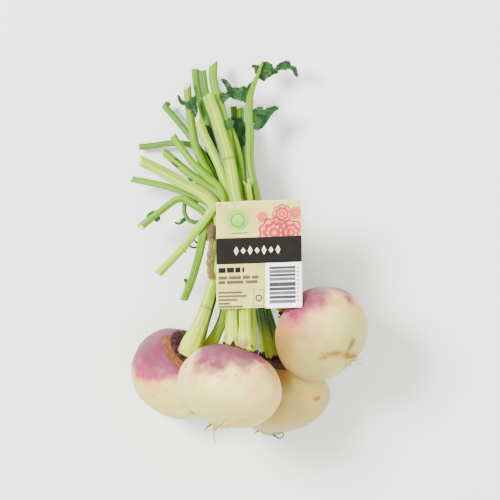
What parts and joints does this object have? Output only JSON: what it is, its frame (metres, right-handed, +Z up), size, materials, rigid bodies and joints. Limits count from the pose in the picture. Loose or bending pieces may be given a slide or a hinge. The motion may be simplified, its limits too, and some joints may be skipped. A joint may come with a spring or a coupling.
{
  "type": "turnip",
  "caption": "Bunch of round pink-shouldered turnips, lying down, their cut leaf stalks tied with raffia that also holds a folded card tag.",
  "frame": {"origin": "middle of the whole bunch in plan, on the surface it lies on", "axes": "+Z up from the surface; +Y from the roots to the cut ends of the stalks; +X to the right, seen from above"},
  "size_m": [0.1777, 0.2846, 0.1353],
  "materials": {
    "root": "cream turnip skin, satin, mottled pink and purple at the crown",
    "root_tan": "tan turnip skin, satin",
    "stalk_pale": "pale ribbed leaf stalk, satin",
    "stalk": "green ribbed leaf stalk, satin",
    "stalk_deep": "deep green ribbed leaf stalk, satin",
    "leaf": "dark green leaf",
    "tie": "raffia, matte and fibrous",
    "card": "uncoated cream card"
  },
  "bodies": {
    "root": {"root_left": "root", "root_front": "root", "root_back": "root_tan", "root_right": "root", "stalk_back_1": "stalk_deep", "stalk_back_2": "stalk_deep", "stalk_back_3": "stalk_deep", "stalk_back_4": "stalk_deep", "stalk_back_5": "stalk_deep", "stalk_back_6": "stalk_deep", "stalk_left_1": "stalk", "stalk_left_2": "stalk_deep", "stalk_right_1": "stalk", "stalk_left_3": "stalk", "stalk_left_4": "stalk", "stalk_right_2": "stalk", "stalk_front_1": "stalk", "stalk_front_2": "stalk_pale", "stalk_front_3": "stalk", "stalk_right_3": "stalk", "stalk_right_4": "stalk_pale", "stalk_left_5": "stalk", "stalk_left_6": "stalk_pale", "stalk_front_4": "stalk_pale", "stalk_front_5": "stalk_pale", "leaf_left": "leaf", "leaf_right": "leaf", "leaf_top": "leaf", "leaf_back": "leaf", "leaf_middle": "leaf", "leaf_upper": "leaf", "tie": "tie", "tag": "card"}
  },
  "joints": []
}
